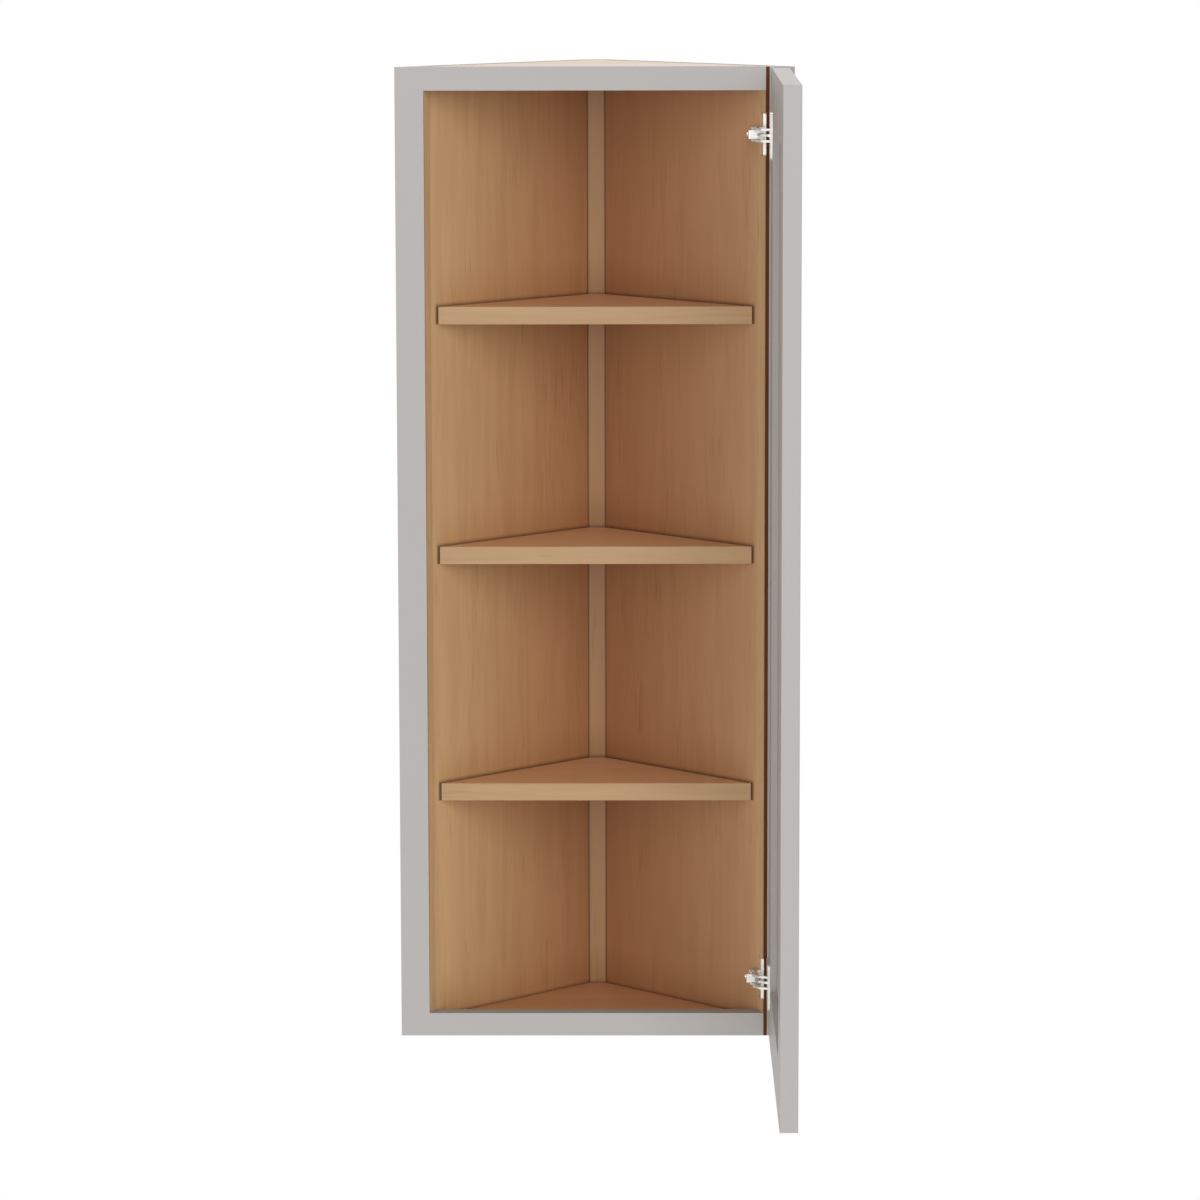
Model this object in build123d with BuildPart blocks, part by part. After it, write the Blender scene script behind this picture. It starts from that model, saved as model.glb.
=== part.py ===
from build123d import *
import os
from math import asin, atan2, cos, degrees, dist, radians, sin, sqrt

os.makedirs("parts", exist_ok=True)

# All sizes are in millimetres. The wall is the plane Y = 0, the neighbouring cabinet stands at X = -leg / 2,
# and Z is up. The origin is at the bottom of the wall's face, halfway along the cabinet. The face frame
# crosses the corner at 45 degrees.

# Cabinet box
leg = 304.8                   # length of the cabinet along the wall, and along its neighbour
height = 1066.8
panel_thickness = 12.7        # side, back, top and bottom panels
frame_depth = 19.05           # thickness of the face frame
stile_face = 31.0             # width of a frame stile, seen from the front
rail_face = 25.4              # height of a frame rail
floor_height = 17.0           # upper surface of the bottom panel
corner_face = 18.95           # inner width of the narrow panel that cuts off the back corner

# Shelves
shelf_thickness = 19.05
lowest_shelf_top = 278.9
shelf_spacing = 263.5
shelf_setback = 5.75          # from the back of the face frame to a shelf's front edge
shelf_side_gap = 1.5
shelf_apex_gap = 1.0
pin_radius = 2.5
pin_bite = 9.0                # how far a shelf pin goes into its panel
pin_reach = 9.0               # how far its flat tongue stands out under the shelf
pin_tongue = 8.0
pin_corner_distance = 70.0    # from the walls' corner to the first pin of a panel
pin_front_distance = 65.0     # from the panel's front end to the other pin

# Joinery
dowel_radius = 3.0
dowel_in_rail = 15.0
dowel_in_stile = 17.0
dowel_spacing = 12.7
fit_gap = 0.05                # between a dowel, pin or screw and its hole
screw_radius = 2.0
screw_head_radius = 4.0
screw_head_height = 2.4
screw_recess_length = 4.4     # arms of the cross in a screw's head
screw_recess_width = 0.96
carcase_screw_length = 35.0
panel_screw_corner = 70.0     # from the walls' corner to the first screw of the top and bottom panels
panel_screw_front = 35.2      # from the panel's front end to the last one
panel_screw_count = 3

# Door, standing open at a right angle to the face frame
door_reveal = 1.0             # the closed door ends this far inside the frame's outline
door_thickness = 19.05
door_rail_face = 63.5         # width of the door's stiles and rails
door_back_recess = 6.8        # from the door's back to its panel
door_panel_thickness = 6.35
groove_depth = 9.5
panel_play = 1.0              # room for the panel in the bottom of its groove
edge_round = 1.0
hinge_edge_round = 1.5
open_gap = 4.8                # from the frame's front to the open door's hinge edge
open_clear = 5.9              # from the opening's edge to the open door's back
closed_gap = 3.0              # from the frame's front to the closed door's back

# Hinges
upper_hinge_drop = 73.2       # centre of the upper hinge below the top
lower_hinge_rise = 63.4       # centre of the lower hinge above the bottom
cup_radius = 17.5
cup_wall = 1.0
cup_depth = 13.0
cup_tab = 5.0                 # wood left between the cup and the door's hinge edge
flange_height = 52.0
flange_margin = 2.0           # the flange stands out past the cup on both sides
flange_thickness = 2.5
flange_corner = 4.0
flange_slot_height = 16.0     # the way through the flange for the links
cup_screw_offset = 9.5
cup_screw_margin = 3.5        # from the flange's ends to its screws
cup_screw_length = 14.0
plate_height = 46.8
plate_corner = 2.5
plate_thickness = 3.3
plate_setback = 0.8           # from the frame's front to the plate
plate_depth = 16.8
plate_seat = 0.4              # how far the flat seat is let into the opening's edge
plate_screw_margin = 6.9      # from the plate's ends to its screws
plate_screw_length = 18.0
arm_reach = 15.9              # how far the arm stands out of its plate
arm_height = 9.2
arm_setback = 4.8
arm_depth = 12.5
arm_slot_height = 2.8
arm_slot_reach = 6.1
arm_slot_depth = 7.7
shoulder_reach = 12.7         # the arm's taller shoulder behind the outer links
adjusting_head_radius = 3.0
adjusting_head_height = 1.5
adjusting_radius = 1.75
adjusting_slot = 0.8
adjusting_setback = 9.2       # the adjusting screw's axis behind the arm's front
link_thickness = 2.2
link_width = 4.8
link_gap = 0.5                # between the arm and each outer link
link_boss_radius = 4.4
outer_reach = 32.0            # sets how far back the outer links' fixed pivot lies
outer_pin_radius = 1.5
outer_pin_from_edge = 12.0    # from the door's hinge edge to the outer links' pin
outer_pin_into_door = 3.0
outer_neck_inset = 3.3        # bends of the outer links with the door shut: past the opening's edge
outer_neck_sink = 1.9
outer_shoulder_inset = 13.0   # and before the pin
outer_shoulder_sink = 2.8
outer_heel_inset = 5.5
outer_heel_sink = 2.4
inner_link_height = 2.4
inner_link_width = 3.8
inner_boss_radius = 2.0
inner_pin_radius = 1.3
inner_pin_from_plate = 2.6
inner_pin_setback = 7.0
inner_link_length = 30.0
inner_link_heading = -53.0    # its direction with the door open, in the plan
inner_turn = -18.4            # how far it turns while the door opens from shut
inner_knee_offset = 1.0       # bends of the inner link with the door shut
inner_knee_sink = 0.2
inner_neck_offset = 1.0
inner_neck_sink = 6.6
inner_heel_inset = 9.7
inner_heel_sink = 2.0
eye_radius = 3.3
eye_bore = 2.5                # oversize, because this pivot stays open
eye_pin_radius = 1.0
eye_pin_from_edge = 12.0
eye_pin_into_door = 7.0
rivet_head_height = 0.6
rivet_head_radius = 2.2

# Lines of the plan: u runs along the face frame from its middle, d runs into the cabinet
face_half = leg / sqrt(2)
opening_edge = face_half - stile_face
panel_line = face_half - panel_thickness * sqrt(2)
frame_back_inner = panel_line - frame_depth
frame_back_outer = face_half - frame_depth
panel_front = leg - frame_depth * sqrt(2) - panel_thickness
corner_inner_half = corner_face / 2
corner_front = panel_line - corner_inner_half
corner_back = corner_front + panel_thickness
corner_outer_half = face_half - corner_back
shelf_line = panel_line - shelf_side_gap * sqrt(2)
shelf_front = frame_depth + shelf_setback
shelf_apex = corner_front - shelf_apex_gap
roof_height = height - panel_thickness

# Lines of the door and the hinges in the same plan
door_width = 2 * (face_half - door_reveal)
door_low = door_reveal
door_high = height - door_reveal
open_line = opening_edge + open_clear
shut_edge = face_half - door_reveal
cup_centre = cup_tab + cup_radius
cup_bore = cup_radius - cup_wall
seat_line = opening_edge + plate_seat
plate_line = seat_line - plate_thickness
link_low = arm_height / 2 + link_gap
link_high = link_low + link_thickness
cup_screw_spacing = flange_height - 2 * cup_screw_margin
plate_screw_spacing = plate_height - 2 * plate_screw_margin
hinges = {"upper_hinge": height - upper_hinge_drop, "lower_hinge": lower_hinge_rise}
shelf_names = ("lower_shelf", "middle_shelf", "upper_shelf")
shelf_tops = {name: lowest_shelf_top + step * shelf_spacing for step, name in enumerate(shelf_names)}


def plan(z=0.0):
    """The plan at height z: its x is u and its y is d."""
    return Plane(origin=(0, -leg / 2, z), x_dir=(1, 1, 0), z_dir=(0, 0, 1))


def point(u, d, z):
    """A point of the plan in the cabinet's own axes."""
    return plan(z).from_local_coords(Vector(u, d, 0))


def across(u, d, z):
    """A plane square to the face frame, facing along +u: its x is d and its y is Z."""
    return Plane(origin=point(u, d, z), x_dir=(-1, 1, 0), z_dir=(1, 1, 0))


def door_plan(z=0.0):
    """The open door's own plan: x runs from its hinge edge, y from its back to its front."""
    return Plane(origin=point(open_line, -open_gap, z), x_dir=(1, -1, 0), z_dir=(0, 0, 1))


def when_open(from_edge, into_door):
    """Where a point of the door lies in the plan when the door is open."""
    return (open_line + into_door, -open_gap - from_edge)


def when_shut(from_edge, into_door):
    """Where the same point lies when the door is shut."""
    return (shut_edge - from_edge, -closed_gap - into_door)


def turned(spot, about, angle):
    """A point of the plan turned about another by an angle in degrees."""
    x, y = spot[0] - about[0], spot[1] - about[1]
    c, s = cos(radians(angle)), sin(radians(angle))
    return (about[0] + x * c - y * s, about[1] + x * s + y * c)


def save(piece, name):
    """Label a finished piece and write it under its name."""
    piece.part.label = name
    export_step(piece.part, f"parts/{name}.step")


def slab(outline, low, high, base=plan):
    """A flat board with the given outline, from one height to another."""
    with BuildPart() as board:
        with BuildSketch(base(low)):
            Polygon(*outline, align=None)
        extrude(amount=high - low)
    return board


def drill(seats, radius, depth, mode=Mode.SUBTRACT):
    """Cut a round hole into the piece being built at every seat, or add a round pin there."""
    with Locations(*seats):
        Cylinder(radius, depth, align=(Align.CENTER, Align.CENTER, Align.MIN), mode=mode)


def drill_for_screws(seats, length, countersunk=True):
    """Cut the screws' holes into the piece being built, and the seats of their heads where asked."""
    drill(seats, screw_radius + fit_gap, length + fit_gap)
    if countersunk:
        with Locations(*seats):
            Cone(
                screw_head_radius + fit_gap,
                screw_radius + fit_gap,
                screw_head_height,
                align=(Align.CENTER, Align.CENTER, Align.MIN),
                mode=Mode.SUBTRACT,
            )


def countersunk_screws(seats, length):
    """Screws with flat heads at their seats, each with a cross recess."""
    with BuildPart() as screws:
        drill(seats, screw_radius, length, Mode.ADD)
        with Locations(*seats):
            Cone(
                screw_head_radius,
                screw_radius,
                screw_head_height,
                align=(Align.CENTER, Align.CENTER, Align.MIN),
            )
            for turn in (0, 90):
                Box(
                    screw_recess_length,
                    screw_recess_width,
                    screw_head_height,
                    rotation=(0, 0, turn),
                    mode=Mode.SUBTRACT,
                )
    return screws


# Outer links: the fixed pivot lies on the line of points as far from the pin with the door shut as open
far_shut = when_shut(outer_pin_from_edge, outer_pin_into_door)
far_open = when_open(outer_pin_from_edge, outer_pin_into_door)
chord = dist(far_shut, far_open)
outer_pivot = (
    (far_shut[0] + far_open[0]) / 2 + outer_reach * (far_open[1] - far_shut[1]) / chord,
    (far_shut[1] + far_open[1]) / 2 - outer_reach * (far_open[0] - far_shut[0]) / chord,
)
outer_turn = -2 * degrees(asin(chord / 2 / dist(outer_pivot, far_open)))

# Inner link: its far end is an open eye that follows the pin in the cup with room to spare
inner_pivot = (plate_line - inner_pin_from_plate, inner_pin_setback)
inner_far = (
    inner_pivot[0] + inner_link_length * cos(radians(inner_link_heading)),
    inner_pivot[1] + inner_link_length * sin(radians(inner_link_heading)),
)
inner_far_shut = turned(inner_far, inner_pivot, -inner_turn)
eye_pin = when_open(eye_pin_from_edge, eye_pin_into_door)

# Routes of the links with the door shut, round the arris of the opening and into the cup
outer_route_shut = [
    outer_pivot,
    (opening_edge - outer_neck_inset, -closed_gap - outer_neck_sink),
    (far_shut[0] - outer_shoulder_inset, far_shut[1] - outer_shoulder_sink),
    (far_shut[0] - outer_heel_inset, far_shut[1] - outer_heel_sink),
    far_shut,
]
inner_route_shut = [
    inner_pivot,
    (inner_pivot[0] + inner_knee_offset, -closed_gap - inner_knee_sink),
    (opening_edge + inner_neck_offset, -closed_gap - inner_neck_sink),
    (inner_far_shut[0] - inner_heel_inset, inner_far_shut[1] - inner_heel_sink),
    inner_far_shut,
]


# Face frame: two mitred stiles with bevelled inner edges and two rails between them
def stile_outline(side):
    """The section of a stile, whose outer and inner edges run on from the panel's two faces."""
    corners = [
        (face_half, 0),
        (frame_back_outer, frame_depth),
        (frame_back_inner, frame_depth),
        (opening_edge, 0),
    ]
    return [(side * u, d) for u, d in corners][::side]


def rail_outline():
    """The plan of a rail, whose ends follow the stiles' bevels."""
    return [
        (-opening_edge, 0),
        (opening_edge, 0),
        (frame_back_inner, frame_depth),
        (-frame_back_inner, frame_depth),
    ]


dowel_root = (opening_edge + frame_back_inner) / 2
rail_centres = (rail_face / 2, height - rail_face / 2)


def dowel_seats(side):
    """Where the dowels of one stile start in the rails, facing the stile."""
    start = side * (dowel_root - dowel_in_rail)
    return [
        Plane(origin=point(start, frame_depth / 2, centre + step), z_dir=(side, side, 0))
        for centre in rail_centres
        for step in (-dowel_spacing / 2, dowel_spacing / 2)
    ]


def drill_for_dowels(sides):
    """Cut the dowel holes of the piece being built."""
    for side in sides:
        drill(dowel_seats(side), dowel_radius + fit_gap, dowel_in_rail + dowel_in_stile + fit_gap)


with BuildPart() as face_frame_left_stile:
    add(slab(stile_outline(-1), 0, height))
    drill_for_dowels([-1])
save(face_frame_left_stile, "face_frame_left_stile")

plate_screw_seats = {
    name: [
        across(plate_line, plate_setback + plate_depth / 2, centre + step)
        for step in (-plate_screw_spacing / 2, plate_screw_spacing / 2)
    ]
    for name, centre in hinges.items()
}

with BuildPart() as face_frame_right_stile:
    add(slab(stile_outline(1), 0, height))
    drill_for_dowels([1])
    for hinge, centre in hinges.items():
        with BuildSketch(plan(centre - plate_height / 2 - fit_gap)):
            with Locations((seat_line, frame_depth / 2)):
                Rectangle(seat_line, 2 * frame_depth, align=(Align.MAX, Align.CENTER))
        extrude(amount=plate_height + 2 * fit_gap, mode=Mode.SUBTRACT)
        drill_for_screws(plate_screw_seats[hinge], plate_screw_length, countersunk=False)
save(face_frame_right_stile, "face_frame_right_stile")

for name, low in (("face_frame_bottom_rail", 0), ("face_frame_top_rail", height - rail_face)):
    with BuildPart() as rail:
        add(slab(rail_outline(), low, low + rail_face))
        drill_for_dowels([-1, 1])
    save(rail, name)

with BuildPart() as face_frame_dowels:
    drill(dowel_seats(-1) + dowel_seats(1), dowel_radius, dowel_in_rail + dowel_in_stile, Mode.ADD)
save(face_frame_dowels, "face_frame_dowels")


# Carcase: a side panel and a back panel, mirror images, and a narrow corner panel glued between them
def from_wall(reach, z, depth=0.0):
    """A plane on the wall, or some depth inside it, a distance from the walls' corner, facing the cabinet."""
    return Plane(origin=(reach - leg / 2, -depth, z), x_dir=(1, 0, 0), z_dir=(0, -1, 0))


def from_neighbour(reach, z, depth=0.0):
    """The same on the neighbour's side."""
    return Plane(origin=(depth - leg / 2, -reach, z), x_dir=(0, 1, 0), z_dir=(1, 0, 0))


def spread(first, last, count):
    """Evenly spaced places from the first to the last."""
    return [first + (last - first) * step / (count - 1) for step in range(count)]


screw_stations = spread(panel_screw_corner, panel_front - panel_screw_front, panel_screw_count)
screw_levels = (floor_height - panel_thickness / 2, height - panel_thickness / 2)
pin_stations = (pin_corner_distance, panel_front - pin_front_distance)
pin_levels = [top - shelf_thickness - pin_radius for top in shelf_tops.values()]


def carcase_screw_seats(face):
    """Where one panel is screwed to the ends of the top and bottom panels."""
    return [face(reach, z) for reach in screw_stations for z in screw_levels]


def pin_seats(face):
    """The bottoms of the shelf pins' holes in one panel."""
    return [face(reach, z, panel_thickness - pin_bite) for reach in pin_stations for z in pin_levels]


def panel_outline(side):
    """The plan of a panel: mitred against the corner panel at the back and against a stile in front."""
    corners = [
        (corner_inner_half, corner_front),
        (corner_outer_half, corner_back),
        (frame_back_outer, frame_depth),
        (frame_back_inner, frame_depth),
    ]
    return [(side * u, d) for u, d in corners][::-side]


for name, side, face in (("side_panel", -1, from_neighbour), ("back_panel", 1, from_wall)):
    with BuildPart() as panel:
        add(slab(panel_outline(side), 0, height))
        drill_for_screws(carcase_screw_seats(face), carcase_screw_length)
        drill(pin_seats(face), pin_radius + fit_gap, pin_bite)
    save(panel, name)

corner_outline = [
    (-corner_inner_half, corner_front),
    (corner_inner_half, corner_front),
    (corner_outer_half, corner_back),
    (-corner_outer_half, corner_back),
]
corner_panel = slab(corner_outline, 0, height)
save(corner_panel, "corner_panel")

# Top and bottom panels fill the plan between the three panels and the face frame
inside_outline = [
    (-frame_back_inner, frame_depth),
    (frame_back_inner, frame_depth),
    (corner_inner_half, corner_front),
    (-corner_inner_half, corner_front),
]
all_screw_seats = carcase_screw_seats(from_wall) + carcase_screw_seats(from_neighbour)
for name, low in (("bottom_panel", floor_height - panel_thickness), ("top_panel", roof_height)):
    with BuildPart() as flat_panel:
        add(slab(inside_outline, low, low + panel_thickness))
        drill_for_screws(all_screw_seats, carcase_screw_length)
    save(flat_panel, name)

carcase_screws = countersunk_screws(all_screw_seats, carcase_screw_length)
save(carcase_screws, "carcase_screws")

# Shelves: loose boards on pins, blunt at the back where they meet the corner panel
shelf_outline = [
    (shelf_front - shelf_line, shelf_front),
    (shelf_line - shelf_front, shelf_front),
    (shelf_line - shelf_apex, shelf_apex),
    (shelf_apex - shelf_line, shelf_apex),
]
for name, top in shelf_tops.items():
    shelf = slab(shelf_outline, top - shelf_thickness, top)
    save(shelf, name)

with BuildPart() as shelf_pins:
    all_pin_seats = pin_seats(from_wall) + pin_seats(from_neighbour)
    drill(all_pin_seats, pin_radius, pin_bite, Mode.ADD)
    with BuildSketch(*[seat.offset(pin_bite) for seat in all_pin_seats]):
        Rectangle(pin_tongue, pin_radius, align=(Align.CENTER, Align.MIN))
    extrude(amount=pin_reach)
save(shelf_pins, "shelf_pins")

# Door: two grooved stiles, two tongued and grooved rails and a loose flat panel
groove_back = door_back_recess
groove_front = door_back_recess + door_panel_thickness + 2 * fit_gap
panel_room = door_rail_face - groove_depth


def door_board(left, right, low, high, back=0.0, front=door_thickness):
    """A board of the door between two distances from the hinge edge and two heights."""
    return slab([(left, back), (right, back), (right, front), (left, front)], low, high, door_plan)


def cup_plane(centre, into_door=0.0):
    """The plane of a hinge cup's mouth, or a plane deeper in the door, facing into the door."""
    u, d = when_open(cup_centre, into_door)
    return Plane(origin=point(u, d, centre), x_dir=(1, -1, 0), z_dir=(1, 1, 0))


cup_screw_seats = {}
for hinge, centre in hinges.items():
    u, d = when_open(cup_centre + cup_screw_offset, -flange_thickness)
    cup_screw_seats[hinge] = [
        across(u, d, centre + step) for step in (-cup_screw_spacing / 2, cup_screw_spacing / 2)
    ]

with BuildPart() as door_hinge_stile:
    add(door_board(0, door_rail_face, door_low, door_high))
    add(
        door_board(panel_room, door_rail_face, door_low, door_high, groove_back, groove_front),
        mode=Mode.SUBTRACT,
    )
    fillet(
        door_hinge_stile.edges().filter_by(Axis.Z).sort_by_distance(door_plan(height / 2).origin)[0],
        hinge_edge_round,
    )
    front_edge = door_plan(height / 2).from_local_coords(Vector(0, door_thickness, 0))
    fillet(door_hinge_stile.edges().filter_by(Axis.Z).sort_by_distance(front_edge)[0], edge_round)
    for hinge, centre in hinges.items():
        with BuildSketch(cup_plane(centre)):
            Circle(cup_radius + fit_gap)
        extrude(amount=cup_depth + fit_gap, mode=Mode.SUBTRACT)
        drill_for_screws(cup_screw_seats[hinge], cup_screw_length, countersunk=False)
save(door_hinge_stile, "door_hinge_stile")

with BuildPart() as door_latch_stile:
    add(door_board(door_width - door_rail_face, door_width, door_low, door_high))
    groove_reach = (door_width - door_rail_face, door_width - panel_room)
    add(
        door_board(*groove_reach, door_low, door_high, groove_back, groove_front),
        mode=Mode.SUBTRACT,
    )
    for face in (0.0, door_thickness):
        corner = door_plan(height / 2).from_local_coords(Vector(door_width, face, 0))
        fillet(door_latch_stile.edges().filter_by(Axis.Z).sort_by_distance(corner)[0], edge_round)
save(door_latch_stile, "door_latch_stile")


def door_rail(low, high, tongue_low, tongue_high, groove_low, groove_high):
    """A rail between the door's stiles, with a tongue at each end and a groove along its inner edge."""
    with BuildPart() as board:
        add(door_board(door_rail_face, door_width - door_rail_face, low, high))
        add(
            door_board(
                panel_room + fit_gap,
                door_width - panel_room - fit_gap,
                tongue_low,
                tongue_high,
                groove_back + fit_gap,
                groove_front - fit_gap,
            )
        )
        add(
            door_board(0, door_width, groove_low, groove_high, groove_back, groove_front),
            mode=Mode.SUBTRACT,
        )
    return board


bottom_inner = door_low + door_rail_face
top_inner = door_high - door_rail_face
door_bottom_rail = door_rail(
    door_low, bottom_inner, door_low, bottom_inner - groove_depth, bottom_inner - groove_depth, bottom_inner
)
save(door_bottom_rail, "door_bottom_rail")
door_top_rail = door_rail(
    top_inner, door_high, top_inner + groove_depth, door_high, top_inner, top_inner + groove_depth
)
save(door_top_rail, "door_top_rail")

door_panel = door_board(
    panel_room + panel_play,
    door_width - panel_room - panel_play,
    door_low + panel_room + panel_play,
    door_high - panel_room - panel_play,
    groove_back + fit_gap,
    groove_front - fit_gap,
)
save(door_panel, "door_panel")


# Hinges: a plate and an arm on the frame, links of bent strip, and a cup let into the door
def bar(route, width):
    """Draw a flat strip with round ends along a route."""
    for start, end in zip(route, route[1:]):
        middle = ((start[0] + end[0]) / 2, (start[1] + end[1]) / 2)
        heading = degrees(atan2(end[1] - start[1], end[0] - start[0]))
        with Locations(middle):
            SlotCenterToCenter(dist(start, end), width, rotation=heading)


def spots(route, about, angle):
    """A route turned about its pivot."""
    return [turned(spot, about, angle) for spot in route]


def hinge_plate(hinge, centre):
    """A steel plate screwed flat on the seat in the opening's edge."""
    with BuildPart() as plate:
        with BuildSketch(across(plate_line, plate_setback + plate_depth / 2, centre)):
            RectangleRounded(plate_depth, plate_height, plate_corner)
        extrude(amount=plate_thickness)
        drill_for_screws(plate_screw_seats[hinge], plate_screw_length)
        drill([adjusting_seat(centre)], adjusting_radius + fit_gap, arm_reach + plate_thickness)
    return plate


def adjusting_seat(centre):
    """The face of the arm that the adjusting screw's head rests on."""
    return across(plate_line - arm_reach, arm_setback + adjusting_setback, centre)


def hinge_arm(centre):
    """A block on the plate that carries both links' fixed pins, with a taller shoulder behind."""
    with BuildPart() as arm:
        with BuildSketch(plan(centre - arm_height / 2)):
            with Locations((plate_line, arm_setback)):
                Rectangle(arm_reach, arm_depth, align=(Align.MAX, Align.MIN))
        extrude(amount=arm_height)
        with BuildSketch(plan(centre - arm_slot_height / 2)):
            with Locations((plate_line, arm_setback)):
                Rectangle(arm_slot_reach, arm_slot_depth, align=(Align.MAX, Align.MIN))
        extrude(amount=arm_slot_height, mode=Mode.SUBTRACT)
        free_end = plate_line - arm_reach
        for d in (arm_setback, arm_setback + arm_depth):
            fillet(arm.edges().filter_by(Axis.Z).sort_by_distance(point(free_end, d, centre))[0], edge_round)
        shoulder_depth = arm_setback + arm_depth - (outer_pivot[1] + link_boss_radius + link_gap)
        with BuildSketch(plan(centre - link_high)):
            with Locations((plate_line, arm_setback + arm_depth)):
                Rectangle(shoulder_reach, shoulder_depth, align=(Align.MAX, Align.MAX))
        extrude(amount=2 * link_high)
        for pivot, radius in ((outer_pivot, outer_pin_radius), (inner_pivot, inner_pin_radius)):
            with BuildSketch(plan(centre)):
                with Locations(pivot):
                    Circle(radius)
            extrude(amount=arm_height, both=True, mode=Mode.SUBTRACT)
        drill([adjusting_seat(centre)], adjusting_radius + fit_gap, arm_reach)
    return arm


def rod(spot, radius, low, high):
    """A round pin that stands at a spot of the plan, inside the part being built."""
    with Locations(point(*spot, low)):
        Cylinder(radius, high - low, align=(Align.CENTER, Align.CENTER, Align.MIN))


def arm_pins(centre):
    """The pin of the outer links, with riveted heads, and the shorter pin of the inner link."""
    with BuildPart() as pins:
        reach = link_high + 2 * fit_gap
        rod(outer_pivot, outer_pin_radius, centre - reach, centre + reach)
        rod(outer_pivot, rivet_head_radius, centre + reach, centre + reach + rivet_head_height)
        rod(outer_pivot, rivet_head_radius, centre - reach - rivet_head_height, centre - reach)
        rod(inner_pivot, inner_pin_radius, centre - arm_height / 2, centre + arm_height / 2)
    return pins


def outer_links(centre):
    """A pair of goose-necked strips, one on each side of the arm."""
    route = spots(outer_route_shut, outer_pivot, outer_turn)
    with BuildPart() as links:
        for low in (centre - link_high, centre + link_low):
            with BuildSketch(plan(low)):
                bar(route, link_width)
                with Locations(outer_pivot):
                    Circle(link_boss_radius)
                with Locations(outer_pivot, far_open):
                    Circle(outer_pin_radius + fit_gap, mode=Mode.SUBTRACT)
            extrude(amount=link_thickness)
    return links


def inner_link(centre):
    """The strip between the outer links, with an oversize eye at its open end."""
    route = spots(inner_route_shut, inner_pivot, inner_turn)
    with BuildPart() as link:
        with BuildSketch(plan(centre - inner_link_height / 2)):
            bar(route, inner_link_width)
            with Locations(inner_pivot):
                Circle(inner_boss_radius)
                Circle(inner_pin_radius + fit_gap, mode=Mode.SUBTRACT)
            with Locations(inner_far):
                Circle(eye_radius)
                Circle(eye_bore, mode=Mode.SUBTRACT)
        extrude(amount=inner_link_height)
    return link


def hinge_cup(hinge, centre):
    """A pressed cup with a flange; the flange is slotted where the links pass."""
    with BuildPart() as cup:
        with BuildSketch(cup_plane(centre, -flange_thickness)):
            RectangleRounded(2 * (cup_radius + flange_margin), flange_height, flange_corner)
        extrude(amount=flange_thickness)
        with BuildSketch(cup_plane(centre)):
            Circle(cup_radius)
        extrude(amount=cup_depth)
        with BuildSketch(cup_plane(centre, -flange_thickness)):
            Circle(cup_bore)
        extrude(amount=flange_thickness + cup_depth - cup_wall, mode=Mode.SUBTRACT)
        with BuildSketch(cup_plane(centre, -flange_thickness)):
            Rectangle(2 * cup_radius, flange_slot_height)
        extrude(amount=flange_thickness, mode=Mode.SUBTRACT)
        drill_for_screws(cup_screw_seats[hinge], cup_screw_length)
        for spot, radius in ((far_open, outer_pin_radius), (eye_pin, eye_pin_radius)):
            with BuildSketch(plan(centre)):
                with Locations(spot):
                    Circle(radius)
            extrude(amount=cup_radius, both=True, mode=Mode.SUBTRACT)
    return cup


def cup_pins(centre):
    """Two stub rivets for the outer links and the pin in the inner link's eye, flush with the cup's wall."""
    with BuildPart() as pins:
        stub = link_low - 2 * fit_gap
        rod(far_open, outer_pin_radius, centre + stub, centre + cup_radius)
        rod(far_open, outer_pin_radius, centre - cup_radius, centre - stub)
        rod(eye_pin, eye_pin_radius, centre - cup_radius, centre + cup_radius)
        with BuildSketch(cup_plane(centre)):
            Circle(cup_radius)
        extrude(amount=cup_depth, mode=Mode.INTERSECT)
    return pins


def adjusting_screw(centre):
    """The screw that holds the arm to its plate, with a slotted head."""
    with BuildPart() as screw:
        seat = adjusting_seat(centre)
        with BuildSketch(seat):
            Circle(adjusting_radius)
        extrude(amount=arm_reach + plate_thickness)
        with BuildSketch(seat.offset(-adjusting_head_height)):
            Circle(adjusting_head_radius)
        extrude(amount=adjusting_head_height)
        with BuildSketch(seat.offset(-adjusting_head_height)):
            Rectangle(2 * adjusting_head_radius, adjusting_slot)
        extrude(amount=adjusting_head_height / 2, mode=Mode.SUBTRACT)
    return screw


for hinge, centre in hinges.items():
    save(hinge_plate(hinge, centre), f"{hinge}_plate")
    save(hinge_arm(centre), f"{hinge}_arm")
    save(arm_pins(centre), f"{hinge}_arm_pins")
    save(outer_links(centre), f"{hinge}_outer_links")
    save(inner_link(centre), f"{hinge}_inner_link")
    save(hinge_cup(hinge, centre), f"{hinge}_cup")
    save(cup_pins(centre), f"{hinge}_cup_pins")
    save(adjusting_screw(centre), f"{hinge}_adjusting_screw")
    save(countersunk_screws(plate_screw_seats[hinge], plate_screw_length), f"{hinge}_plate_screws")
    save(countersunk_screws(cup_screw_seats[hinge], cup_screw_length), f"{hinge}_cup_screws")
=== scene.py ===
import math

import bpy
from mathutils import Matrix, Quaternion, Vector


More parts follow.
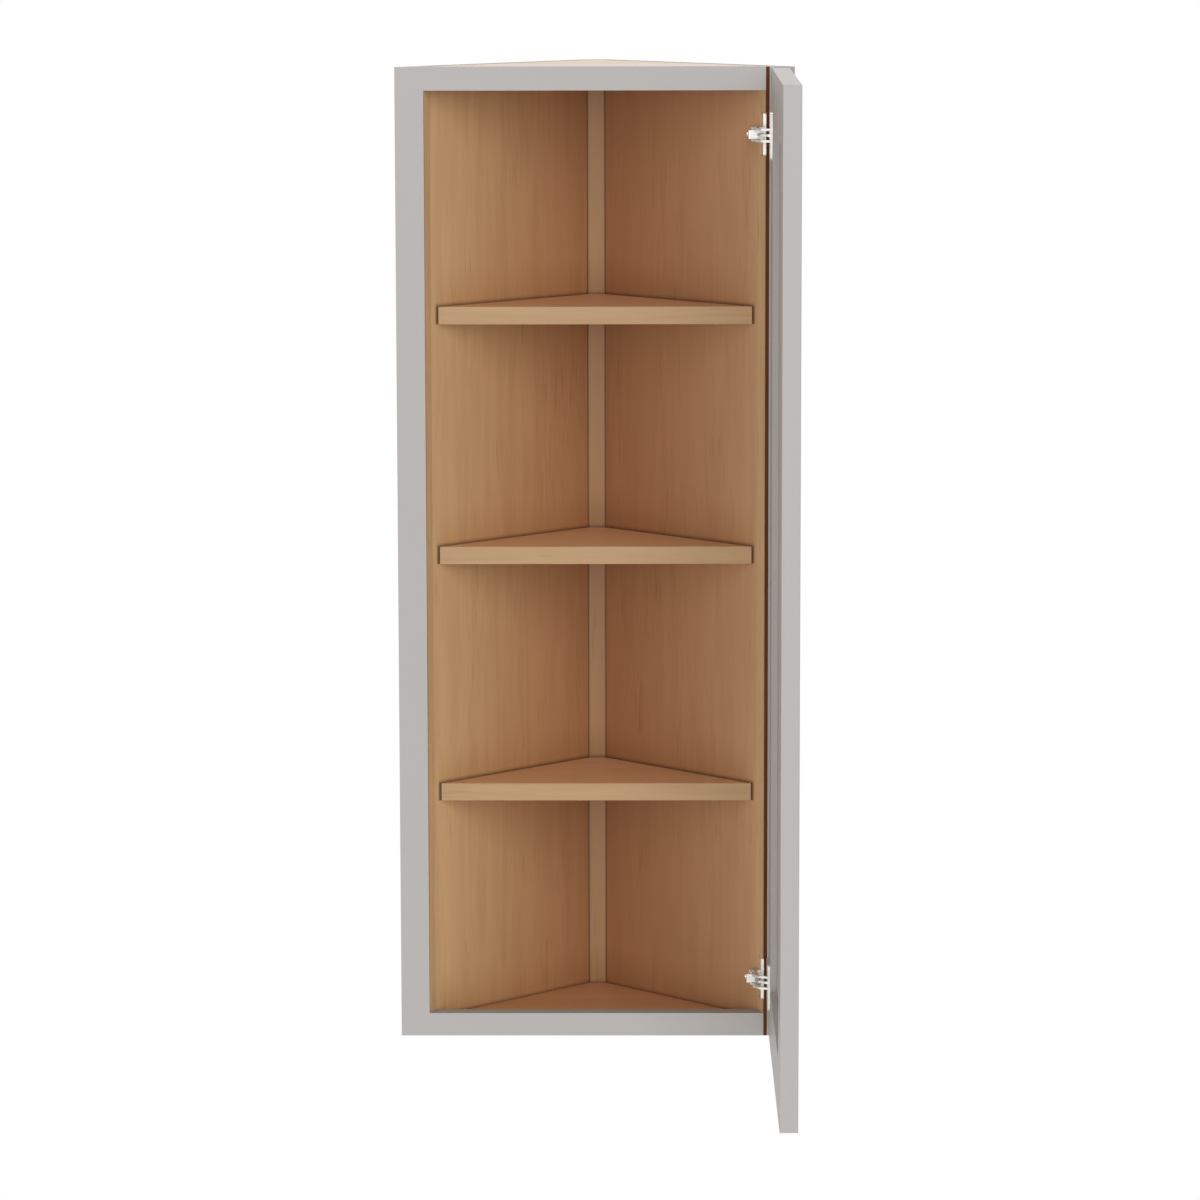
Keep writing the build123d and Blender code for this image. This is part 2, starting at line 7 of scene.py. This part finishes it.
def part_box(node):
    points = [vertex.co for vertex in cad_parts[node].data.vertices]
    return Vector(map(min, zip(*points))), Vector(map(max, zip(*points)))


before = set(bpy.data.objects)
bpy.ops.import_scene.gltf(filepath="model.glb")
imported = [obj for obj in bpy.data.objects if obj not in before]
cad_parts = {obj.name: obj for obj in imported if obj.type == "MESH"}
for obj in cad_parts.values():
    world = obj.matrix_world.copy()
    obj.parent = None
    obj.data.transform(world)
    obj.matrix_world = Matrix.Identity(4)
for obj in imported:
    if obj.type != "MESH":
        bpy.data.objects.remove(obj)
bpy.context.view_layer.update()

# Side panel, back panel and corner panel. They are 12.7 mm plywood boards, mitred together in the back corner
# and screwed from outside. Inside they are faced with maple laminate whose grain runs upright, and painted
# shade deepens their tone towards the corner; outside they are bare plywood, and their upper and lower ends
# show the plies.
leg = 0.3048
height = 1.0668
panel_thickness = 0.0127
floor_height = 0.0170
corner_front = 0.18809
corner_back = corner_front + panel_thickness
corner_half_width = 0.0094
shelf_front = 0.0248
shelves = ("lower_shelf", "middle_shelf", "upper_shelf")

# How far a face's own colour reaches into its board, and the axes that grain runs along: the frame's, or up.
skin = 0.0002
grain_along, grain_up = 0, 2

# Each panel's tone is darkened by painted shade from its front edge to the corner. The back panel's shade
# does most of that early.
shade_start = 0.02
back_panel_power = 0.45

# Where panels meet shelves, floor and each other is a dark line of painted shade, with a faint warm painted
# shade over it.
shade_line_brown = "#4a2810"
shade_line_share, joint_shade_share, edge_shade_share = 0.74, 0.7, 0.6
line_width = 0.0018
line_below, line_above = 0.0010, 0.0050
joint_shade_width = 0.0017
warm_shade_tint = "#f6f1ea"
warm_shade_height = 0.0450

# Width and length of each of maple's marks, in metres. Real fibre is finer than the render can show, so it is
# drawn 1.2 mm wide, and wander carries all the marks sideways by up to the sway.
wander_size = (0.045, 0.150)
band_size = (0.040, 0.600)
figure_size = (0.010, 0.170)
fibre_size = (0.0012, 0.060)
fleck_size = (0.0019, 0.052)
cluster_size = (0.030, 0.120)
sway = 0.008
ply_thickness, ply_length = 0.0017, 0.25

# Nearly all of a pattern's values lie between these two.
pattern_low, pattern_high = 0.3, 0.7


def linear(code):
    """A colour written as sRGB hex, in the linear values that a shader takes."""
    levels = [int(code[i : i + 2], 16) / 255 for i in (1, 3, 5)]
    return tuple(c / 12.92 if c <= 0.04045 else ((c + 0.055) / 1.055) ** 2.4 for c in levels) + (1.0,)


def join(tree, node, links):
    """Give a node's sockets values or links, by name or in order. A node stands for its first output."""
    if isinstance(links, dict):
        pairs = [(node.inputs[name], value) for name, value in links.items()]
    else:
        pairs = zip([socket for socket in node.inputs if socket.enabled], links)
    for socket, value in pairs:
        if isinstance(value, bpy.types.Node):
            value = next(output for output in value.outputs if output.enabled)
        if isinstance(value, bpy.types.NodeSocket):
            tree.links.new(value, socket)
        else:
            socket.default_value = linear(value) if isinstance(value, str) else value


def add_node(tree, kind, links=(), **settings):
    """Add one node with its settings and links."""
    made = tree.nodes.new("ShaderNode" + kind)
    for name, value in settings.items():
        setattr(made, name, value)
    join(tree, made, links)
    return made


def new_finish(name):
    """An empty material, its tree and its shader."""
    material = bpy.data.materials.new(name)
    material.use_nodes = True
    tree = material.node_tree
    tree.nodes.clear()
    shader = add_node(tree, "BsdfPrincipled")
    add_node(tree, "OutputMaterial", {"Surface": shader})
    return material, tree, shader


def room(tree):
    """A point's place in metres: X along the wall, Y into it, Z up."""
    return add_node(tree, "TexCoord").outputs["Object"]


def plan(tree):
    """A point's place in the plan: X along the face frame from its middle, Y into the cabinet, Z up."""
    turned = {"Vector": room(tree), "Location": (0, -leg / 2, 0), "Rotation": (0, 0, math.radians(45))}
    return add_node(tree, "Mapping", turned, vector_type="TEXTURE")


def height_up(tree):
    """How high a point lies over the cabinet's underside."""
    return add_node(tree, "SeparateXYZ", (room(tree),)).outputs["Z"]


def depth_in(tree):
    """How far a point lies behind the face frame's front."""
    return add_node(tree, "SeparateXYZ", (plan(tree),)).outputs["Y"]


def from_middle(tree):
    """How far a point lies to the right of the cabinet's middle, seen from in front."""
    return add_node(tree, "SeparateXYZ", (plan(tree),)).outputs["X"]


def region(tree, *limits):
    """1 on the part of a board that keeps to all the limits, and 0 elsewhere."""
    tests = {"<": "LESS_THAN", ">": "GREATER_THAN"}
    mask = 1.0
    for measure, side, limit in limits:
        kept = add_node(tree, "Math", (measure, limit), operation=tests[side])
        mask = add_node(tree, "Math", (mask, kept), operation="MULTIPLY")
    return mask


def pattern(tree, where, cell, detail, roughness=0.5):
    """Soft patches with a real size in metres along each axis. Their value lies round 0.5."""
    sized = add_node(tree, "Mapping", {"Vector": where, "Scale": cell}, vector_type="TEXTURE")
    links = {"Vector": sized, "Scale": 1.0, "Detail": detail, "Roughness": roughness}
    return add_node(tree, "TexNoise", links)


def maple(tree, where, grain, pale, deep, seed):
    """Maple's colour and its fibre. The grain runs along one axis of the place given."""

    def marks(place, size, detail, roughness=0.5):
        cell = [size[1] if axis == grain else size[0] for axis in range(3)]
        return pattern(tree, place, cell, detail, roughness)

    offset = (0.13 * seed, 0.29 * seed, 0.17 * seed)
    moved = add_node(tree, "VectorMath", (where, offset), operation="ADD")
    wander = marks(moved, wander_size, 1.0).outputs["Color"]
    swayed = add_node(tree, "VectorMath", (wander, (sway, sway, sway), moved), operation="MULTIPLY_ADD")
    bands = marks(swayed, band_size, 2.0)
    figure = marks(swayed, figure_size, 2.0)
    fibre = marks(swayed, fibre_size, 3.0, 0.65)
    flecks = marks(swayed, fleck_size, 1.0)
    clusters = marks(swayed, cluster_size, 1.0)

    paler = add_node(tree, "MapRange", (bands, pattern_low, pattern_high))
    wood = add_node(tree, "Mix", (paler, deep, pale), data_type="RGBA")
    for mark, low, high, share, brown in (
        (figure, 0.34, 0.62, 0.14, "#9a6c45"),
        (fibre, 0.35, 0.70, 0.10, "#85592f"),
    ):
        darker = add_node(tree, "MapRange", (mark, low, high, share, 0.0))
        wood = add_node(tree, "Mix", (darker, wood, brown), data_type="RGBA")
    cores = add_node(tree, "MapRange", (flecks, 0.59, 0.74))
    strength = add_node(tree, "MapRange", (clusters, 0.52, 0.64, 0.03, 0.30))
    darkest = add_node(tree, "Math", (cores, strength), operation="MULTIPLY")
    return add_node(tree, "Mix", (darkest, wood, "#6a4526"), data_type="RGBA"), fibre


def laminate_finish(name, where, grain, pale, deep, seed):
    """Maple laminate under satin lacquer: warm, with fine fibre, a faint figure and sparse dark flecks."""
    material, tree, shader = new_finish(name)
    wood, fibre = maple(tree, where(tree), grain, pale, deep, seed)
    gloss = add_node(tree, "MapRange", (fibre, pattern_low, pattern_high, 0.46, 0.54))
    bump = add_node(tree, "Bump", {"Height": fibre, "Strength": 0.10, "Distance": 0.0002})
    join(tree, shader, {"Base Color": wood, "Roughness": gloss, "Normal": bump, "IOR": 1.5})
    return material, tree, shader


def paint_over(tree, shader, mask, colour, blend="MIX"):
    """Lay a colour over what the shader has, by the mask."""
    under = shader.inputs["Base Color"].links[0].from_socket
    over = add_node(tree, "Mix", (mask, under, colour), data_type="RGBA", blend_type=blend)
    join(tree, shader, {"Base Color": over})


def plywood_outside(tree, shader, where, outside, across, seed):
    """Pale bare plywood on the outer face, and dark plies across the board's upper and lower ends."""
    plywood, _ = maple(tree, where(tree), grain_up, "#cfb595", "#c2a582", seed)
    paint_over(tree, shader, outside, plywood)
    cell = [ply_thickness if axis == across else ply_length for axis in range(3)]
    plies = add_node(tree, "MapRange", (pattern(tree, where(tree), cell, 1.0), 0.42, 0.58))
    end_grain = add_node(tree, "Mix", (plies, "#6b4c2e", "#8d6c48"), data_type="RGBA")
    for side, limit in ((">", height - skin), ("<", skin)):
        paint_over(tree, shader, region(tree, (height_up(tree), side, limit)), end_grain)


def shade_lines(tree, shader):
    """A panel's painted line of shade round the end of each shelf and along the floor, and the warm painted
    shade over it.
    """
    for low, high in [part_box(name) for name in shelves] + [((0, 0, 0), (0, 0, floor_height))]:
        over, top = region(tree, (height_up(tree), ">", low[2])), high[2]
        behind = add_node(tree, "MapRange", (depth_in(tree), shelf_front - line_width, shelf_front))
        reach = add_node(tree, "Math", (over, behind), operation="MULTIPLY")
        # Painted shade: a faint darker, warmer tone up to 45 mm over each shelf and the floor, and a dark
        # line just over them.
        warm = add_node(tree, "MapRange", (height_up(tree), top, top + warm_shade_height, 1.0, 0.0))
        links = (height_up(tree), top - line_below, top + line_above, shade_line_share, 0.0)
        line = add_node(tree, "MapRange", links, interpolation_type="SMOOTHSTEP")
        for share, colour, blend in ((warm, warm_shade_tint, "MULTIPLY"), (line, shade_line_brown, "MIX")):
            mask = add_node(tree, "Math", (share, reach), operation="MULTIPLY")
            paint_over(tree, shader, mask, colour, blend)


def give(names, material):
    """One finish for several CAD nodes."""
    for name in names:
        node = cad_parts[name]
        node.data.materials.clear()
        node.data.materials.append(material)


for name, across, side, face, colour, corner_shade_tint in (
    ("side_panel", 0, "<", -leg / 2 + skin, "#dab282", "#d4bcb5"),
    ("back_panel", 1, ">", -skin, "#cca075", "#cab6ab"),
):
    finish = f"{name}_maple_laminate"
    material, tree, shader = laminate_finish(finish, room, grain_up, colour, colour, 3 + across)
    # Painted shade: the laminate darkens and reddens from the front edge to the corner.
    deeper_shade = add_node(tree, "MapRange", (depth_in(tree), shade_start, corner_front))
    if name == "back_panel":
        deeper_shade = add_node(tree, "Math", (deeper_shade, back_panel_power), operation="POWER")
    paint_over(tree, shader, deeper_shade, corner_shade_tint, "MULTIPLY")
    # Painted shade: a dark line down the panel where it meets the corner panel.
    links = (depth_in(tree), corner_front - joint_shade_width, corner_front - skin, 0.0, joint_shade_share)
    joint = add_node(tree, "MapRange", links, interpolation_type="SMOOTHSTEP")
    paint_over(tree, shader, joint, shade_line_brown)
    shade_lines(tree, shader)
    through = add_node(tree, "SeparateXYZ", (room(tree),)).outputs[across]
    plywood_outside(tree, shader, room, region(tree, (through, side, face)), across, 7 + across)
    give([name], material)

finish = "corner_panel_maple_laminate"
# Painted shade: the corner panel's laminate is given a darker tone than the other panels', as deep as theirs
# at the corner.
material, tree, shader = laminate_finish(finish, plan, grain_up, "#a77f53", "#a0774c", 21)
# Painted shade: a dark line down each side of the corner panel, where it meets the side and back panels.
to_side = add_node(tree, "Math", (from_middle(tree),), operation="ABSOLUTE")
links = (to_side, corner_half_width - line_width, corner_half_width, 0.0, edge_shade_share)
edge = add_node(tree, "MapRange", links, interpolation_type="SMOOTHSTEP")
paint_over(tree, shader, edge, shade_line_brown)
shade_lines(tree, shader)
plywood_outside(tree, shader, plan, region(tree, (depth_in(tree), ">", corner_back - skin)), 1, 23)
give(["corner_panel"], material)

# Top and bottom panels. The same boards, let in between the upright panels and held by screws. Laminate faces
# the inside of the cabinet, its grain along the face frame; outside they are pale bare plywood, which shows
# only as a sliver over the frame.
for name, side, face, seed in (
    ("top_panel", ">", height - skin, 31),
    ("bottom_panel", "<", floor_height - panel_thickness + skin, 37),
):
    finish = f"{name}_maple_laminate"
    material, tree, shader = laminate_finish(finish, plan, grain_along, "#c79368", "#bf8b61", seed)
    plywood, _ = maple(tree, plan(tree), grain_along, "#ebdbc7", "#e1d0ba", seed + 3)
    paint_over(tree, shader, region(tree, (height_up(tree), side, face)), plywood)
    give([name], material)

# Face frame. Two hardwood stiles and two rails, dowelled together and sprayed with pale greige satin lacquer
# in front and outside. The stiles' bevelled inner edges and their backs keep clear maple. A dark brown strip
# down the right stile beside the open door is painted shade: maple's colour, darkened as deep shade in a
# narrow gap.
greige = "#bab6b3"
frame_depth = 0.01905
opening_edge = 0.184526
rail_face = 0.0254
gap_shade_width = 0.0039
arris_start, arris_end, arris_share = 0.0006, 0.0034, 0.55
drift_size = (0.09, 0.09, 0.30)
orange_peel_size = (0.0011, 0.0011, 0.0011)


def paint_finish(name):
    """Sprayed satin lacquer: even and opaque, with faint orange peel and a very slight drift of its tone."""
    material, tree, shader = new_finish(name)
    drift = pattern(tree, room(tree), drift_size, 2.0)
    share = add_node(tree, "MapRange", (drift, pattern_low, pattern_high, 0.0, 0.05))
    tone = add_node(tree, "Mix", (share, greige, "#a9a29c"), data_type="RGBA")
    peel = pattern(tree, room(tree), orange_peel_size, 2.0)
    gloss = add_node(tree, "MapRange", (peel, pattern_low, pattern_high, 0.42, 0.50))
    bump = add_node(tree, "Bump", {"Height": peel, "Strength": 0.08, "Distance": 0.0001})
    join(tree, shader, {"Base Color": tone, "Roughness": gloss, "Normal": bump, "IOR": 1.45})
    return material, tree, shader


for name in ("top_rail", "bottom_rail"):
    material, tree, shader = paint_finish(f"greige_paint_{name}")
    if name == "bottom_rail":
        # Painted shade: the rail's upper face is painted a darker grey, as it lies in shade inside the
        # opening.
        paint_over(tree, shader, region(tree, (height_up(tree), ">", rail_face - skin)), "#9c9c96")
    give([f"face_frame_{name}"], material)

# Painted light: the left stile's maple is paler than the right stile's, making up for the lamps' light that
# the open door keeps off its inner edge.
for name, side, clear_maple in (("left_stile", -1, "#ecc898"), ("right_stile", 1, "#ddbc91")):
    material, tree, shader = paint_finish(f"greige_paint_{name}")
    outwards = add_node(tree, "Math", (from_middle(tree), side), operation="MULTIPLY")
    depth, up = depth_in(tree), height_up(tree)
    wood, _ = maple(tree, room(tree), grain_up, clear_maple, clear_maple, 41 + side)
    between_ends = (up, ">", skin), (up, "<", height - skin)
    inner_edge = region(tree, (outwards, "<", opening_edge - skin), (depth, ">", skin), *between_ends)
    paint_over(tree, shader, inner_edge, wood)
    paint_over(tree, shader, region(tree, (depth, ">", frame_depth - skin)), wood)
    # Painted shade: the bevelled inner edge darkens towards its front arris.
    links = (depth, arris_start, arris_end, arris_share, 0.0)
    shade = add_node(tree, "MapRange", links, interpolation_type="SMOOTHSTEP")
    arris_shade = add_node(tree, "Math", (shade, inner_edge), operation="MULTIPLY")
    paint_over(tree, shader, arris_shade, "#6f4c2c")
    if name == "right_stile":
        # Painted shade: the dark brown strip stands for maple in deep shade. It is matt, so it keeps its dark
        # colour under the lamps.
        strip = region(tree, (outwards, "<", opening_edge + gap_shade_width), (depth, "<", skin))
        bare, _ = maple(tree, room(tree), grain_up, "#6a3a23", "#60321f", 45)
        paint_over(tree, shader, strip, bare)
        shine = add_node(tree, "MapRange", (strip, 0.0, 1.0, 0.5, 0.0))
        join(tree, shader, {"Specular IOR Level": shine})
    give([f"face_frame_{name}"], material)

# Dowels. Turned beech pegs, glued across the joints between rails and stiles, two to a joint. They are hidden
# when the frame is together; beech is close-grained, pale and even.
material, tree, shader = laminate_finish("beech_dowels", plan, grain_along, "#cfae85", "#c19c70", 47)
give(["face_frame_dowels"], material)

# Shelves. Three loose 19 mm boards that lie on pins, faced with the same maple laminate. The grain runs along
# the front edge, which is banded with paler maple veneer.
for name, seed in (("lower_shelf", 53), ("middle_shelf", 59), ("upper_shelf", 61)):
    finish = f"{name}_maple_laminate"
    material, tree, shader = laminate_finish(finish, plan, grain_along, "#d7a67a", "#cf9e72", seed)
    banding, _ = maple(tree, plan(tree), grain_along, "#c4a075", "#bc986f", seed + 2)
    paint_over(tree, shader, region(tree, (depth_in(tree), "<", shelf_front + skin)), banding)
    give([name], material)

# Shelf pins. Small clear plastic pins, moulded in one piece and pushed into holes in the panels, four under
# each shelf. What shows of them is glossy and takes the wood's colour, slightly clouded.
pin_cloud_size = (0.004, 0.004, 0.004)
material, tree, shader = new_finish("clear_moulded_pins")
cloud = pattern(tree, room(tree), pin_cloud_size, 2.0)
tint = add_node(tree, "Mix", (cloud, "#b9a184", "#c8b296"), data_type="RGBA")
join(tree, shader, {"Base Color": tint, "Roughness": 0.22})
give(["shelf_pins"], material)

# Carcase screws. Rolled steel with zinc plating, driven flush into the faces that meet the wall and the
# neighbouring unit: a cool pale grey with a dull shine.


def metal_finish(name, bright, dull, roughness, wear_size, metallic=1.0):
    """Plated steel: bright, softened by fine wear, with slightly uneven gloss."""
    material, tree, shader = new_finish(name)
    wear = pattern(tree, room(tree), (wear_size, wear_size, wear_size), 2.0)
    worn = add_node(tree, "MapRange", (wear, pattern_low, pattern_high))
    tone = add_node(tree, "Mix", (worn, bright, dull), data_type="RGBA")
    gloss = add_node(tree, "MapRange", (wear, pattern_low, pattern_high, roughness - 0.02, roughness + 0.03))
    join(tree, shader, {"Base Color": tone, "Roughness": gloss, "Metallic": metallic})
    return material


give(["carcase_screws"], metal_finish("zinc_plated_screws", "#c9c8c2", "#b5b3ab", 0.34, 0.002))

# Door. Two stiles, two rails and a flat panel that floats in their grooves, glued at the corners and sprayed
# all over with the face frame's satin lacquer. It stands open at a right angle.
door_parts = ("hinge_stile", "latch_stile", "top_rail", "bottom_rail", "panel")
material, tree, shader = paint_finish("greige_paint_door")
give([f"door_{part}" for part in door_parts], material)

# Hinges. Plate, arm, links and cup are pressed from sheet steel and nickel plated to a pale satin shine. The
# pins and screws are turned from steel, plated alike, and shine a little more; screws hold the plate to the
# frame and the cup to the door.
pressings = metal_finish("satin_nickel_pressings", "#e4e3e0", "#dbd9d5", 0.42, 0.006, 0.8)
turned_steel = metal_finish("nickel_pins_and_screws", "#e2e0db", "#d0cdc6", 0.32, 0.0015)
pressed_parts = ("plate", "arm", "outer_links", "inner_link", "cup")
turned_parts = ("arm_pins", "cup_pins", "adjusting_screw", "plate_screws", "cup_screws")
for hinge in ("upper_hinge", "lower_hinge"):
    give([f"{hinge}_{part}" for part in pressed_parts], pressings)
    give([f"{hinge}_{part}" for part in turned_parts], turned_steel)

# Studio: a pale matt floor below the hung cabinet, a white surround, and large soft lamps in front and above.
# To the camera the floor is nearly as white as the surround and fades into it at its rim, and from below it
# is clear, so that the underside shows.
floor_centre = (0.35, -0.5, -1.37)
floor_radius = 2.4
fade_start, fade_end = 0.8, 2.3
white_share, rim_white_share = 0.6, 1.0
floor_drift_size = (0.5, 0.5, 0.5)
bpy.ops.object.select_all(action="DESELECT")
bpy.ops.mesh.primitive_circle_add(vertices=96, radius=floor_radius, fill_type="NGON", location=floor_centre)
floor = bpy.context.object
floor.name = "studio_floor"
material, tree, shader = new_finish("pale_studio_floor")
drift = pattern(tree, room(tree), floor_drift_size, 2.0)
tone = add_node(tree, "Mix", (drift, "#f1f0ee", "#f6f5f3"), data_type="RGBA")
join(tree, shader, {"Base Color": tone, "Roughness": 0.9})
to_camera = add_node(tree, "LightPath").outputs["Is Camera Ray"]
from_centre = add_node(tree, "VectorMath", (room(tree),), operation="LENGTH")
links = (from_centre, fade_start, fade_end, white_share, rim_white_share)
fade = add_node(tree, "MapRange", links, interpolation_type="SMOOTHSTEP")
whiter = add_node(tree, "Math", (to_camera, fade), operation="MULTIPLY")
bright = add_node(tree, "Emission", {"Color": "#ffffff", "Strength": 1.0})
upper_side = add_node(tree, "MixShader", (whiter, shader, bright))
underneath = add_node(tree, "NewGeometry").outputs["Backfacing"]
hidden = add_node(tree, "Math", (to_camera, underneath), operation="MULTIPLY")
surface = add_node(tree, "MixShader", (hidden, upper_side, add_node(tree, "BsdfTransparent")))
join(tree, tree.nodes["Material Output"], {"Surface": surface})
floor.data.materials.append(material)


def direction(u, d, z):
    """A direction of the plan, in the room's axes: u along the face frame, d into the cabinet."""
    return Vector(((u - d) / math.sqrt(2), (u + d) / math.sqrt(2), z))


def place(u, d, z):
    """A point of the plan, in metres from the middle of the face frame's front."""
    return Vector((0, -leg / 2, 0)) + direction(u, d, z)


for name, at, towards, width, tall, watts in (
    ("overhead_softbox", place(0.0, 0.5, 4.0), place(0.0, 0.05, 1.0), 1.6, 1.6, 31.0),
    ("key_softbox", place(1.2, -7.5, 4.5), place(0.0, 0.0, 0.5), 3.0, 7.0, 250.0),
    ("fill_softbox", place(-2.8, -8.6, 0.4), place(0.0, 0.0, 0.5), 4.0, 4.0, 160.0),
):
    bpy.ops.object.light_add(type="AREA", location=at)
    lamp = bpy.context.object
    lamp.name = name
    lamp.data.shape = "RECTANGLE"
    lamp.data.size, lamp.data.size_y = width, tall
    lamp.data.energy = watts
    lamp.rotation_euler = (towards - at).to_track_quat("-Z", "Y").to_euler()

world_light = 0.46
world = bpy.data.worlds.new("studio")
bpy.context.scene.world = world
world.use_nodes = True
tree = world.node_tree
tree.nodes.clear()
rays = add_node(tree, "LightPath")
seen = rays.outputs["Is Camera Ray"]
for ray in ("Is Glossy Ray", "Is Transmission Ray"):
    seen = add_node(tree, "Math", (seen, rays.outputs[ray]), operation="MAXIMUM")
soft = add_node(tree, "Background", {"Color": "#ffffff", "Strength": world_light})
white = add_node(tree, "Background", {"Color": "#ffffff", "Strength": 1.0})
add_node(tree, "OutputWorld", {"Surface": add_node(tree, "MixShader", (seen, soft, white))})

# Camera: a long lens 5.4 m in front of the face frame and a little above the cabinet's top, square to the
# frame in plan and tilted down towards the cabinet's middle.
camera_at = place(0.04749, -5.39438, 1.28268)
yaw, pitch, roll = math.radians(-0.4531), math.radians(-8.3897), math.radians(-0.1115)
bpy.ops.object.camera_add(location=camera_at)
camera = bpy.context.object
camera.name = "camera"
camera.data.lens = 149.75
camera.data.sensor_width = 36.0
camera.data.clip_end = 60.0
aim = direction(math.sin(yaw) * math.cos(pitch), math.cos(yaw) * math.cos(pitch), math.sin(pitch))
camera.rotation_mode = "QUATERNION"
camera.rotation_quaternion = aim.to_track_quat("-Z", "Y") @ Quaternion((0, 0, 1), roll)
bpy.context.scene.camera = camera
bpy.context.scene.view_settings.view_transform = "Standard"
